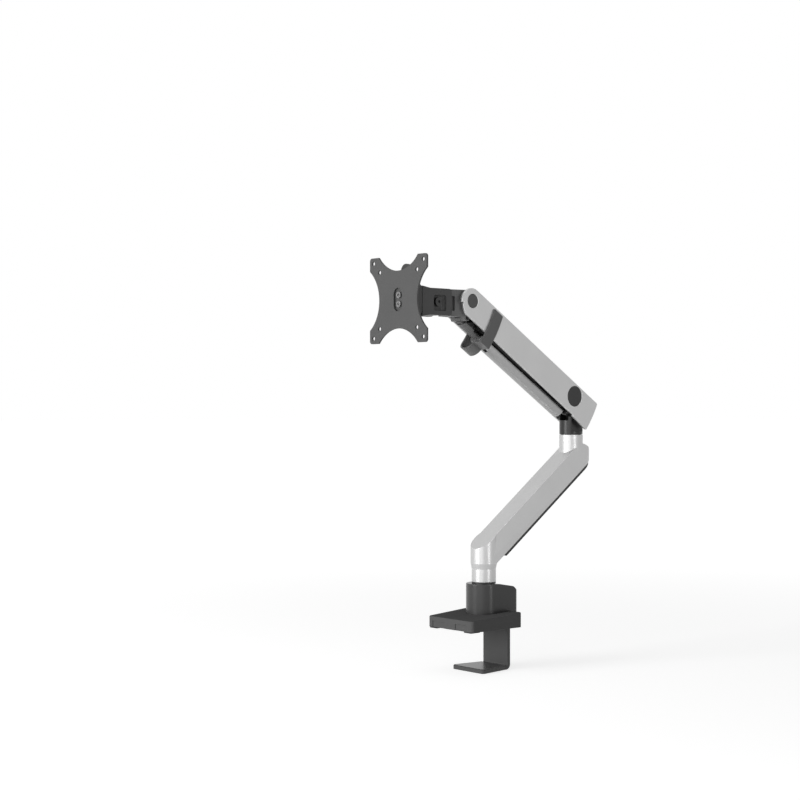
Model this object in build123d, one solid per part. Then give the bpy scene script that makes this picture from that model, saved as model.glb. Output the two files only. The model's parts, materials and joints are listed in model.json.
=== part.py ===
from build123d import *
import os
from math import atan2, cos, degrees, hypot, radians, sin, tan

# Desk-clamp monitor arm. Millimetres, +Z up. The origin is on the desk surface, on the axis of the post.
# +X is the user's right and +Y points away from the user. At rest the whole arm lies in the plane X = 0.

# Clearances
RUN_FIT = 0.05
SEAT_FIT = 0.02
FACE_GAP = 0.1
OPEN_PIVOT_FIT = 0.3
OVER = 1.0

# Foot and base plate
PAD_T = 1.5
PAD_INSET = 6.0
PAD_TAB_X0, PAD_TAB_X1 = 27.0, 41.0
PAD_TAB_INSET = 1.0
PAD_TAB_LENGTH = 16.0
FOOT_FRONT_Y, FOOT_REAR_Y = -63.5, 28.0
FOOT_FRONT_HALF, FOOT_REAR_HALF = 44.0, 47.0
FOOT_TOP_FRONT, FOOT_TOP_REAR = 16.0, 21.8
FOOT_CORNER_R = 5.0
FOOT_EDGE_R = 1.2
FOOT_WALL = 2.5
POCKET_X0, POCKET_X1 = 10.2, 34.8
POCKET_TOP = 10.3
POCKET_DEPTH = 1.2
BASE_PLATE_T = 5.0
BASE_PLATE_FIT = 0.3

# Post
POST_R = 11.0
POST_RISE = 40.0
POST_CHAMFER = 1.5
FLANGE_R = 20.0
FLANGE_T = 4.5
GROOVE_RISE = 15.0
GROOVE_W = 4.0
GROOVE_DEPTH = 1.0
BASE_SCREW_COUNT = 3
BASE_SCREW_R = 2.5
BASE_SCREW_HEAD_R = 4.5
BASE_SCREW_HEAD_T = 2.5
BASE_SCREW_CIRCLE_R = 15.5

# Post housing with the clamp tail
HOUSING_R = 24.5
HOUSING_TOP = 60.0
HOUSING_WALL = 3.5
HOUSING_CAVITY_R = 20.5
TAIL_REAR_Y = 40.0
TAIL_HALF = 27.0
TAIL_CORNER_R = 6.0
TAIL_SLOPE_Y0, TAIL_SLOPE_Y1 = 6.0, 31.0
TAIL_SLOPE_DROP = 4.5
TAIL_EDGE_DROP = 13.0
TAIL_TOP_R = 7.0
TAIL_BOTTOM = 12.0
HOUSING_EDGE_R = 1.0
WASHER_T = 2.0
WASHER_R = 16.5

# Clamp
BRACKET_HALF = 24.0
BRACKET_T = 5.0
BRACKET_FRONT_Y = 22.0
BRACKET_TOP = 13.0
JAW_OPENING = 52.5
CLAMP_TRAVEL = 36.0
LIP_PAD_T = 1.0
LIP_FRONT_Y = -31.0
LIP_FRONT_HALF = 31.0
LIP_CORNER_R = 4.0
BEND_OUTER_R, BEND_INNER_R = 7.0, 2.0
BEND_STRAIGHT = 4.0
SLOT_FIT = 0.35
CLAMP_SCREW_Y = 32.0
CLAMP_SCREW_R = 4.0
CLAMP_THREAD_FIT = 0.08
CLAMP_SCREW_HEAD_R = 6.5
CLAMP_SCREW_HEAD_T = 3.0
CLAMP_SCREW_SOCKET = 5.0
CLAMP_SCREW_SOCKET_DEPTH = 2.0
NUT_HALF = 9.0
NUT_REAR_Y = 37.3
NUT_Z0, NUT_Z1 = 2.2, 10.2

# Lower arm
BOSS_R = 16.7
BOSS_FLARE_R = 18.2
BOSS_SEAM_RISE = 20.0
BOSS_SEAM_DEPTH = 0.25
BOSS_SEAM_W = 0.7
BOSS_FLARE_RISE = 27.0
LOWER_RISE = 60.9
LOWER_SLOPE = 36.2
ELBOW_Y = 174.0
LOWER_THICKNESS = 31.1
LOWER_TOP_HALF, LOWER_BOTTOM_HALF = 16.0, 19.5
LOWER_END_REACH = 29.0
LOWER_END_R = 19.5
LOWER_END_TOP_R = 27.0
COLLAR_R = 17.0
COLLAR_RISE = 13.35
BUSH_WALL = 1.45
BUSH_GAP_RISE0, BUSH_GAP_RISE1 = 10.0, 24.0
GRUB_R = 2.0
GRUB_TIP_FIT = 0.5
CHANNEL_HALF = 11.0
CHANNEL_DEPTH = 17.0
CHANNEL_Y0, CHANNEL_Y1 = 30.0, 150.0
COVER_Y0, COVER_Y1 = 27.0, 194.0
COVER_T = 4.3
COVER_INSET = 1.0
COVER_RIB_H = 6.0
COVER_RIB_T = 1.6

# Elbow
STEM_R = 8.0
STEM_BUSH_WALL = 1.5
STEM_LENGTH = 35.8
STEM_SEAT_DEPTH = 0.2
ELBOW_FLANGE_T = 0.6
ELBOW_FLANGE_R = 15.0
ELBOW_DISC_R = 16.7
ELBOW_DISC_T = 4.4
ELBOW_HALF = 12.0
ELBOW_ROUND_DROP = 21.4
ELBOW_REAR_H = 8.0
ELBOW_SLOT_HALF = 8.5
ELBOW_SLOT_DROP = 34.5
ELBOW_SLOT_REAR = 13.0
ELBOW_EAR_R = 4.6
ELBOW_EAR_HALF = 11.5
ELBOW_POINT_R = 0.5
STEM_WASHER_R = 11.5
STEM_WASHER_T = 2.0
STEM_SCREW_R = 3.0
STEM_SCREW_HEAD_R = 6.5
STEM_SCREW_HEAD_T = 4.5
STEM_SCREW_LENGTH = 16.0
STEM_SCREW_SOCKET = 5.0

# Upper arm: main pivot, head pivot and the pins of the parallel link below them
MAIN_PIVOT_FORWARD = 14.0
MAIN_PIVOT_H = 55.4
ARM_REACH, ARM_RISE = 200.0, 128.0
LINK_DY, LINK_DZ = -5.0, -23.0
ARM_LENGTH = hypot(ARM_REACH, ARM_RISE)
ARM_ANGLE = degrees(atan2(ARM_RISE, ARM_REACH))
ARM_TOP_ANGLE = 45.0
SHELL_HALF = 21.0
SHELL_WALL = 3.0
SHELL_TOP_ELBOW, SHELL_TOP_HEAD = 16.6, 17.0
SHELL_BOTTOM_ELBOW, SHELL_BOTTOM_HEAD = 28.2, 21.8
SHELL_STEP_S = -11.0
SHELL_BOTTOM_STEP = 24.2
SHELL_STEP = 1.8
SHELL_LEFT_BOTTOM = 25.0
SHELL_REAR = 46.3
SHELL_REAR_BULGE = 1.5
SHELL_CORNER_R = 2.5
SHELL_EDGE = 0.7
SHELL_EDGE_ANGLE = 45.0
SHELL_CEILING = 14.0
SHELL_END_WALL_BOTTOM = 1.0
SHELL_ROOF_END = 8.0
NOSE_STEP = 3.5
MAIN_BOSS_R = 12.5
MAIN_PIN_R = 5.0
HEAD_PIN_R = 5.0
CAP_T = 1.3
MAIN_CAP_R, HEAD_CAP_R = 14.0, 9.0
CAP_FIT = 0.15
CAP_DOME = 0.3
CAP_RIM = 0.9
SPACER_R = 9.0

# Lower link
LINK_R = 10.6
LINK_WALL = 1.8
LINK_RIM = -2.4
LINK_REAR_START = 8.5
LINK_REAR_SLANT = 45.0
LINK_EYE_R = 4.3
LINK_PIN_R = 2.5
LINK_EAR_X0, LINK_EAR_X1 = 5.0, 8.0
LINK_LUG_END = 36.0
LINK_LUG_TOP = -3.4
LINK_BLOCK_START = 20.0
LINK_JOINT_BACK = 39.0
LINK_SPIGOT = 10.0
LINK_HEAD_R = 8.6
LINK_HEAD_WALL = 1.7
LINK_HEAD_RIM = -2.9
LINK_HEAD_END = 6.5
LINK_HEAD_SLANT = 33.0
LINK_BULKHEAD = 14.0
LINK_PLUG_TOP = -5.2
LINK_TONGUE_HALF = 4.8
LINK_BAR_START = 4.0
LINK_BAR_TOP, LINK_BAR_BOTTOM = -2.5, -6.5
LINK_SLOT_BACK = 64.0
LINK_SLOT_LENGTH = 7.0
LINK_SLOT_X0, LINK_SLOT_X1 = 0.5, 5.5

# Gas spring
SPRING_OFFSET = 16.0
SPRING_FOOT_R = 2.5
ROD_EYE_R = 7.6
ROD_EYE_HOLE_R = 5.4
ROD_EYE_HALF = 4.0
ROD_R = 3.5
ROD_LENGTH = 118.0
PISTON_R = 6.2
PISTON_T = 5.0
CYLINDER_R = 8.0
CYLINDER_BORE_R = 6.5
CYLINDER_START = 66.0
CYLINDER_BACK = 40.5
CYLINDER_GLAND = 6.0
ANCHOR_BACK = 31.5
ANCHOR_R = 2.0
ANCHOR_NECK_HALF = 3.0
ANCHOR_EYE_R = 5.5
ANCHOR_EYE_HALF = 6.0

# Cable clip
CLIP_BACK0, CLIP_BACK1 = 56.0, 38.0
CLIP_BOW = 3.0
CLIP_T = 2.2
CLIP_TOP = 13.0
CLIP_STRAP_TOP = -37.6
CLIP_LOOP_X = -3.0
CLIP_LOOP_R = 11.5
CLIP_LOOP_ARM = 15.5
CLIP_PEG_R = 2.5
CLIP_PEG_TOP, CLIP_PEG_LOW = 6.0, -12.0

# Knuckle and head
HEAD_DROP = 1.8
KNUCKLE_R = 16.5
KNUCKLE_HALF = 15.0
KNUCKLE_SIDE_R = 13.5
KNUCKLE_LUG_R = 4.0
KNUCKLE_LUG_HALF = 8.5
KNUCKLE_LUG_SLOT_HALF = 5.4
KNUCKLE_LUG_SLOT_TOP = -13.5
KNUCKLE_LUG_SLOT_CLEAR = 2.0
PAN_FORWARD = 30.0
EAR_R = 10.5
EAR_ROOT = 4.0
UPPER_EAR_H0, UPPER_EAR_H1 = 6.0, 15.0
LOWER_EAR_H0, LOWER_EAR_H1 = -21.0, -13.5
PAN_PIN_R = 4.0
PAN_PIN_INSET = 1.0
PAN_WASHER_R = 10.5
PAN_WASHER_T = 0.4
CORE_R = 11.5
CORE_HALF = 14.3
CORE_NECK_FORWARD = 16.0
CORE_GAP_R = 12.5
TILT_FORWARD = 31.5
TILT_DROP = 1.7
TILT_BARREL_R = 9.0
TILT_BOLT_R = 4.0
TILT_HEAD_R = 6.0
TILT_HEAD_T = 4.2
TILT_SOCKET = 4.0
TILT_WASHER_R = 8.0
TILT_WASHER_T = 0.5
FORK_HALF = 22.0
FORK_INNER_HALF = 15.0
FORK_HEIGHT = 35.6
FORK_FRONT, FORK_REAR = 30.5, 24.7
FORK_FLARE = 2.2
FORK_FLARE_DEPTH = 14.0
FORK_WEB = 13.0
FORK_FLOOR_T = 3.0
FORK_FLOOR_REAR = 4.0
FORK_REAR_CHAMFER = 3.0
FORK_REAR_R = 8.0
FORK_POCKET_FRONT, FORK_POCKET_REAR = 10.5, 11.5
FORK_POCKET_DROP = 1.6
FORK_POCKET_H = 21.0
FORK_POCKET_DEPTH = 5.2
FORK_POCKET_R = 3.0

# Screen plate and its quick release
PLATE_FORWARD = 23.8
PLATE_T = 2.5
PLATE_HALF = 57.3
PLATE_WAIST = 38.0
PLATE_FLAT_START = 39.5
PLATE_CORNER_R = 4.0
PLATE_HOLE_R = 2.8
PLATE_PATTERNS = (100.0, 75.0)
CUP_W, CUP_H = 17.0, 31.0
CUP_WALL = 1.6
CUP_DEPTH = 2.9
PLATE_SCREW_SPACING = 12.0
PLATE_SCREW_GRIP = 4.0
PLATE_SCREW_HEAD_R = 4.2
PLATE_SCREW_HEAD_T = 2.4
PLATE_SCREW_R = 2.0
PLATE_SCREW_SOCKET = 3.6
PLATE_SCREW_FLOOR = 0.5
RELEASE_HALF = 22.0
RELEASE_HEIGHT = 40.6
RELEASE_CORNER_R = 5.0
ROTATION_WASHER_T = 1.0
ROTATION_WASHER_R = 16.0
SPINDLE_R = 5.0
SPINDLE_FLANGE_R = 11.0
SPINDLE_FLANGE_T = 4.5
ROTATION_NUT_R = 7.0
ROTATION_NUT_T = 3.8
LATCH_HALF = 10.0
LATCH_T = 3.6
LATCH_FORWARD = 8.0
LATCH_TOP_H, LATCH_BOTTOM_H = 47.8, 13.8
LATCH_TRAVEL = 3.0
LATCH_STOP = 0.4
LATCH_FIT = 0.2
LATCH_SPRING_R, LATCH_SPRING_BORE_R = 1.5, 0.9

HUGE = 400.0

# Heights and depths that follow from the sizes above
POST_TOP = HOUSING_TOP + POST_RISE
GROOVE_Z = HOUSING_TOP + GROOVE_RISE
LOWER_TOP_Z = HOUSING_TOP + LOWER_RISE
COLLAR_TOP = LOWER_TOP_Z + ELBOW_Y * tan(radians(LOWER_SLOPE)) + COLLAR_RISE
STEM_END_Z = COLLAR_TOP - STEM_LENGTH
MAIN_Y = ELBOW_Y - MAIN_PIVOT_FORWARD
MAIN_Z = COLLAR_TOP + MAIN_PIVOT_H
ANCHOR_S = ARM_LENGTH - ANCHOR_BACK
CYLINDER_END = ARM_LENGTH - CYLINDER_BACK
CLIP_S0, CLIP_S1 = ARM_LENGTH - CLIP_BACK0, ARM_LENGTH - CLIP_BACK1
HEAD_Y = MAIN_Y - ARM_REACH
HEAD_PIVOT_Z = MAIN_Z + ARM_RISE
HEAD_Z = HEAD_PIVOT_Z - HEAD_DROP
PAN_Y = HEAD_Y - PAN_FORWARD
UPPER_EAR_Z0, UPPER_EAR_Z1 = HEAD_PIVOT_Z + UPPER_EAR_H0, HEAD_PIVOT_Z + UPPER_EAR_H1
LOWER_EAR_Z0, LOWER_EAR_Z1 = HEAD_PIVOT_Z + LOWER_EAR_H0, HEAD_PIVOT_Z + LOWER_EAR_H1
TILT_Y = PAN_Y - TILT_FORWARD
TILT_Z = HEAD_Z - TILT_DROP
FORK_FRONT_Y, FORK_REAR_Y = TILT_Y - FORK_FRONT, TILT_Y + FORK_REAR
PLATE_FRONT_Y = FORK_FRONT_Y - PLATE_FORWARD
LATCH_Y = FORK_FRONT_Y - LATCH_FORWARD

# Frames along the upper arm and along the lower link: x runs towards the head, y is upwards across the arm
ARM_DIR = (0, -cos(radians(ARM_ANGLE)), sin(radians(ARM_ANGLE)))
ARM = Plane(origin=(0, MAIN_Y, MAIN_Z), x_dir=ARM_DIR, z_dir=(-1, 0, 0)).location
LINK = Plane(origin=(0, MAIN_Y + LINK_DY, MAIN_Z + LINK_DZ), x_dir=ARM_DIR, z_dir=(-1, 0, 0)).location


def block(x0, x1, y0, y1, z0, z1):
    """Box between two corners."""
    box = Box(x1 - x0, y1 - y0, z1 - z0)
    return Pos((x0 + x1) / 2, (y0 + y1) / 2, (z0 + z1) / 2) * box


def rod_x(radius, x0, x1, y, z):
    """Cylinder along X."""
    return Pos((x0 + x1) / 2, y, z) * Rot(0, 90, 0) * Cylinder(radius, x1 - x0)


def rod_y(radius, y0, y1, x, z):
    """Cylinder along Y."""
    return Pos(x, (y0 + y1) / 2, z) * Rot(90, 0, 0) * Cylinder(radius, y1 - y0)


def rod_z(radius, z0, z1, x=0.0, y=0.0):
    """Cylinder along Z."""
    return Pos(x, y, (z0 + z1) / 2) * Cylinder(radius, z1 - z0)


def tube_x(outer, inner, x0, x1, y, z):
    """Ring along X."""
    return rod_x(outer, x0, x1, y, z) - rod_x(inner, x0 - OVER, x1 + OVER, y, z)


def tube_z(outer, inner, z0, z1, x=0.0, y=0.0):
    """Ring along Z."""
    return rod_z(outer, z0, z1, x, y) - rod_z(inner, z0 - OVER, z1 + OVER, x, y)


def hex_x(across, x0, x1, y, z):
    """Hexagonal bar along X, sized across its flats."""
    bar = extrude(RegularPolygon(across / 2, 6, major_radius=False), x1 - x0)
    return Pos(x0, y, z) * Rot(0, 90, 0) * bar


def hex_y(across, y0, y1, x, z):
    """Hexagonal bar along Y, sized across its flats."""
    bar = extrude(RegularPolygon(across / 2, 6, major_radius=False), y1 - y0)
    return Pos(x, y1, z) * Rot(90, 0, 0) * bar


def hex_z(across, z0, z1, x, y):
    """Hexagonal bar along Z, sized across its flats."""
    return Pos(x, y, z0) * extrude(RegularPolygon(across / 2, 6, major_radius=False), z1 - z0)


def polygon(*points):
    """Closed face through the points."""
    return make_face(Polyline(*points, close=True))


def hull(*circles):
    """Face wrapped tightly round circles given as (x, y, radius)."""
    edges = []
    for x, y, radius in circles:
        edges += (Pos(x, y) * Circle(radius)).edges()
    return make_hull(edges)


def side_prism(face, half):
    """A face drawn in (Y, Z), extruded to both sides of X = 0."""
    return extrude(Plane.YZ * face, half, both=True)


def plan_prism(face, z0, z1):
    """A face drawn in (X, Y), extruded between two heights."""
    return Pos(0, 0, z0) * extrude(face, z1 - z0)


def arm_block(frame, s0, s1, t0, t1, x0, x1):
    """Box in an arm frame: s along it, t across it, x to the user's right."""
    return frame * block(s0, s1, t0, t1, -x1, -x0)


def arm_rod(frame, radius, s0, s1, t):
    """Cylinder that runs along an arm frame."""
    return frame * rod_x(radius, s0, s1, t, 0)


def arm_pin(frame, radius, s, t, x0, x1):
    """Cylinder across an arm frame."""
    return frame * rod_z(radius, -x1, -x0, s, t)


def mirrored(solid):
    """The solid and its mirror image in the plane X = 0."""
    return [solid, mirror(solid, Plane.YZ)]


# Base

def foot_top_z(y):
    """Height of the foot's sloping top."""
    slope = (FOOT_TOP_REAR - FOOT_TOP_FRONT) / (FOOT_REAR_Y - FOOT_FRONT_Y)
    return FOOT_TOP_FRONT + slope * (y - FOOT_FRONT_Y)


def below_foot_top(drop):
    """Everything below the foot's sloping top, lowered by drop."""
    front_z = foot_top_z(-HUGE) - drop
    rear_z = foot_top_z(HUGE) - drop
    return side_prism(polygon((-HUGE, front_z), (HUGE, rear_z), (HUGE, -HUGE), (-HUGE, -HUGE)), HUGE)


def foot_outline(inset):
    """Plan of the foot, drawn in from its edge."""
    front = FOOT_FRONT_HALF - inset
    rear = FOOT_REAR_HALF - inset
    y0 = FOOT_FRONT_Y + inset
    y1 = FOOT_REAR_Y - inset
    face = polygon((-front, y0), (front, y0), (rear, y1), (-rear, y1))
    return fillet(face.vertices(), max(FOOT_CORNER_R - inset, FOOT_EDGE_R))


def bracket_notch(fit):
    """Room in the foot for the upright of the clamp bracket."""
    half = BRACKET_HALF + SLOT_FIT + fit
    return block(-half, half, BRACKET_FRONT_Y - SLOT_FIT - fit, HUGE, -HUGE, HUGE)


def base_screw_places():
    return PolarLocations(BASE_SCREW_CIRCLE_R, BASE_SCREW_COUNT, start_angle=90)


def make_foot():
    outer = plan_prism(foot_outline(0), PAD_T, HUGE) & below_foot_top(0)
    top = outer.faces().sort_by(Axis.Z)[-1]
    outer = fillet(top.edges(), FOOT_EDGE_R)
    inner = plan_prism(foot_outline(FOOT_WALL), 0, HUGE) & below_foot_top(FOOT_WALL)
    cover = outer - inner - bracket_notch(0)
    cover -= rod_z(POST_R + FOOT_WALL, 0, HUGE)
    for side in (-1, 1):
        x0, x1 = sorted((side * POCKET_X0, side * POCKET_X1))
        cover -= block(x0, x1, FOOT_FRONT_Y - OVER, FOOT_FRONT_Y + POCKET_DEPTH, 0, POCKET_TOP)

    plate = plan_prism(foot_outline(FOOT_WALL + BASE_PLATE_FIT), PAD_T, PAD_T + BASE_PLATE_T)
    plate -= bracket_notch(BASE_PLATE_FIT)
    screws = []
    for place in base_screw_places():
        plate -= place * rod_z(BASE_SCREW_HEAD_R + FACE_GAP, PAD_T - OVER, PAD_T + BASE_SCREW_HEAD_T)
        plate -= place * rod_z(BASE_SCREW_R + FACE_GAP, PAD_T, HUGE)
        head = rod_z(BASE_SCREW_HEAD_R, PAD_T + FACE_GAP, PAD_T + BASE_SCREW_HEAD_T)
        shank = rod_z(BASE_SCREW_R, PAD_T + BASE_SCREW_HEAD_T - OVER, PAD_T + BASE_PLATE_T + FLANGE_T)
        screws.append(place * (head + shank))

    sheet_half = FOOT_FRONT_HALF - PAD_INSET
    sheet_rear = BRACKET_FRONT_Y - PAD_INSET
    tab_y = FOOT_FRONT_Y + PAD_TAB_INSET
    pads = block(-sheet_half, sheet_half, tab_y + PAD_INSET + PAD_TAB_INSET, sheet_rear, 0, PAD_T)
    for tab in mirrored(block(PAD_TAB_X0, PAD_TAB_X1, tab_y, tab_y + PAD_TAB_LENGTH, 0, PAD_T)):
        pads += tab
    return {"foot_cover": cover, "base_plate": plate, "base_screws": screws, "foot_pads": pads}


def make_post():
    flange_z = PAD_T + BASE_PLATE_T
    post = rod_z(POST_R, flange_z, POST_TOP)
    post = chamfer(post.edges().sort_by(Axis.Z)[-1], POST_CHAMFER)
    post += rod_z(FLANGE_R, flange_z, flange_z + FLANGE_T)
    for place in base_screw_places():
        post -= place * rod_z(BASE_SCREW_R + SEAT_FIT, flange_z - OVER, flange_z + FLANGE_T + OVER)
    groove = tube_z(POST_R + OVER, POST_R - GROOVE_DEPTH, GROOVE_Z - GROOVE_W / 2, GROOVE_Z + GROOVE_W / 2)
    washer = tube_z(WASHER_R, POST_R + FACE_GAP, HOUSING_TOP, HOUSING_TOP + WASHER_T)
    return {"post": post - groove, "thrust_washer": washer}


def make_housing():
    corner_x = TAIL_HALF - TAIL_CORNER_R
    corner_y = TAIL_REAR_Y - TAIL_CORNER_R
    plan = hull((0, 0, HOUSING_R), (corner_x, corner_y, TAIL_CORNER_R), (-corner_x, corner_y, TAIL_CORNER_R))
    slope_z = HOUSING_TOP - TAIL_SLOPE_DROP
    ridge = (TAIL_SLOPE_Y1, slope_z)
    side = polygon((-HUGE, 0), (-HUGE, HOUSING_TOP), (TAIL_SLOPE_Y0, HOUSING_TOP), ridge,
                   (TAIL_REAR_Y + OVER, HOUSING_TOP - TAIL_EDGE_DROP), (TAIL_REAR_Y + OVER, 0))
    side = fillet(side.vertices().sort_by_distance(ridge)[0], TAIL_TOP_R)
    body = plan_prism(plan, 0, HUGE) & side_prism(side, HUGE)
    top = body.faces().sort_by(Axis.Z)[-1]
    body = fillet(top.edges().filter_by(GeomType.CIRCLE), HOUSING_EDGE_R)
    body -= below_foot_top(0) & block(-HUGE, HUGE, -HUGE, FOOT_REAR_Y + FACE_GAP, -HUGE, HUGE)
    body -= block(-HUGE, HUGE, -HUGE, HUGE, -HUGE, TAIL_BOTTOM)

    body -= rod_z(HOUSING_CAVITY_R, 0, HOUSING_TOP - HOUSING_WALL)
    body -= rod_z(POST_R + FACE_GAP, 0, HUGE)
    slot_half = BRACKET_HALF + SLOT_FIT
    slot_top = BRACKET_TOP + CLAMP_TRAVEL + SLOT_FIT
    slot_y0 = BRACKET_FRONT_Y - SLOT_FIT
    slot_y1 = BRACKET_FRONT_Y + BRACKET_T + SLOT_FIT
    body -= block(-slot_half, slot_half, slot_y0, slot_y1, 0, slot_top)
    nut_top = NUT_Z1 + CLAMP_TRAVEL + SLOT_FIT
    nut_half = NUT_HALF + SLOT_FIT
    body -= block(-nut_half, nut_half, slot_y0, NUT_REAR_Y + SLOT_FIT, 0, nut_top)
    body -= rod_z(CLAMP_SCREW_R + FACE_GAP, 0, HUGE, 0, CLAMP_SCREW_Y)
    body -= rod_z(CLAMP_SCREW_HEAD_R + SLOT_FIT, clamp_seat_z(), HUGE, 0, CLAMP_SCREW_Y)
    return {"post_housing": body}


# Clamp

def clamp_seat_z():
    """Height of the ledge under the clamp screw's head."""
    return BRACKET_TOP + CLAMP_TRAVEL


def make_clamp():
    lip_top = -JAW_OPENING - LIP_PAD_T
    lip_bottom = lip_top - BRACKET_T
    rear = BRACKET_FRONT_Y + BRACKET_T
    side = polygon((rear, BRACKET_TOP), (BRACKET_FRONT_Y, BRACKET_TOP), (BRACKET_FRONT_Y, lip_top),
                   (LIP_FRONT_Y, lip_top), (LIP_FRONT_Y, lip_bottom), (rear, lip_bottom))
    corners = side.vertices()
    outer_bend = corners.sort_by_distance((rear, lip_bottom))[0]
    side = fillet(outer_bend, BEND_OUTER_R)
    inner_bend = side.vertices().sort_by_distance((BRACKET_FRONT_Y, lip_top))[0]
    side = fillet(inner_bend, BEND_INNER_R)
    flare_y = BRACKET_FRONT_Y - BEND_STRAIGHT
    plan = polygon((-BRACKET_HALF, HUGE), (-BRACKET_HALF, flare_y), (-LIP_FRONT_HALF, LIP_FRONT_Y),
                   (LIP_FRONT_HALF, LIP_FRONT_Y), (BRACKET_HALF, flare_y), (BRACKET_HALF, HUGE))
    plan = fillet(plan.vertices().sort_by(Axis.Y)[:2], LIP_CORNER_R)
    bracket = side_prism(side, HUGE) & plan_prism(plan, -HUGE, HUGE)
    pad_plan = offset(plan, -LIP_PAD_T / 2)
    pad = plan_prism(pad_plan, lip_top, lip_top + LIP_PAD_T)
    pad &= block(-HUGE, HUGE, -HUGE, flare_y, -HUGE, HUGE)

    nut = block(-NUT_HALF, NUT_HALF, rear, NUT_REAR_Y, NUT_Z0, NUT_Z1)
    nut -= rod_z(CLAMP_SCREW_R, -HUGE, HUGE, 0, CLAMP_SCREW_Y)
    seat = clamp_seat_z() + FACE_GAP
    screw = rod_z(CLAMP_SCREW_R - CLAMP_THREAD_FIT, NUT_Z0 - OVER, seat + OVER, 0, CLAMP_SCREW_Y)
    screw += rod_z(CLAMP_SCREW_HEAD_R, seat, seat + CLAMP_SCREW_HEAD_T, 0, CLAMP_SCREW_Y)
    socket_z = seat + CLAMP_SCREW_HEAD_T - CLAMP_SCREW_SOCKET_DEPTH
    screw -= hex_z(CLAMP_SCREW_SOCKET, socket_z, HUGE, 0, CLAMP_SCREW_Y)
    return {"clamp_bracket": bracket, "lip_pad": pad, "clamp_nut": nut, "clamp_screw": screw}


# Lower arm

def lower_z(y, depth):
    """Height of a plane depth below the lower arm's top."""
    slope = radians(LOWER_SLOPE)
    return LOWER_TOP_Z - depth / cos(slope) + y * tan(slope)


def below_lower_plane(depth):
    """Everything below the lower arm's top plane, lowered by depth."""
    low = -2 * HUGE
    points = [(-HUGE, lower_z(-HUGE, depth)), (HUGE, lower_z(HUGE, depth)), (HUGE, low), (-HUGE, low)]
    return side_prism(polygon(*points), HUGE)


def lower_plan(inset):
    """Plan of the lower arm between its boss and its round upper end."""
    end_y = ELBOW_Y + LOWER_END_REACH - LOWER_END_R
    return hull((0, 0, BOSS_FLARE_R - inset), (0, end_y, LOWER_END_R - inset))


def lower_body():
    """The sloping beam of the lower arm, without its boss and collar."""
    section = polygon((-LOWER_TOP_HALF, 0), (LOWER_TOP_HALF, 0), (LOWER_BOTTOM_HALF, -LOWER_THICKNESS),
                      (-LOWER_BOTTOM_HALF, -LOWER_THICKNESS))
    slope = radians(LOWER_SLOPE)
    across = Plane(origin=(0, 0, LOWER_TOP_Z), x_dir=(1, 0, 0), z_dir=(0, -cos(slope), -sin(slope)))
    beam = extrude(across * section, HUGE, both=True)
    beam &= plan_prism(lower_plan(0), 0, HUGE)
    beam -= below_lower_plane(LOWER_THICKNESS)
    beam -= block(-HUGE, HUGE, -HUGE, HUGE, 0, HOUSING_TOP + BOSS_FLARE_RISE)
    end_y = ELBOW_Y + LOWER_END_REACH - LOWER_END_TOP_R
    end_z = lower_z(end_y, LOWER_END_TOP_R * cos(slope))
    end = block(-HUGE, HUGE, end_y, HUGE, 0, HUGE) - rod_x(LOWER_END_TOP_R, -HUGE, HUGE, end_y, end_z)
    return beam - end


def lower_boss():
    """The round boss that turns on the post, cut off by the arm's top plane."""
    seam_z = HOUSING_TOP + BOSS_SEAM_RISE
    flare_z = HOUSING_TOP + BOSS_FLARE_RISE
    bottom = boss_bottom_z()
    profile = polygon((0, bottom), (BOSS_R, bottom), (BOSS_R, seam_z), (BOSS_FLARE_R, flare_z),
                      (BOSS_FLARE_R, HUGE), (0, HUGE))
    boss = revolve(Plane.XZ * profile, Axis.Z) & below_lower_plane(0)
    seam = tube_z(BOSS_R + OVER, BOSS_R - BOSS_SEAM_DEPTH, seam_z - BOSS_SEAM_W, seam_z)
    return boss - seam


def boss_bottom_z():
    return HOUSING_TOP + WASHER_T + FACE_GAP


def stem_seat_z():
    """Height of the counterbore floor above the stem washer."""
    return STEM_END_Z + STEM_SEAT_DEPTH


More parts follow.
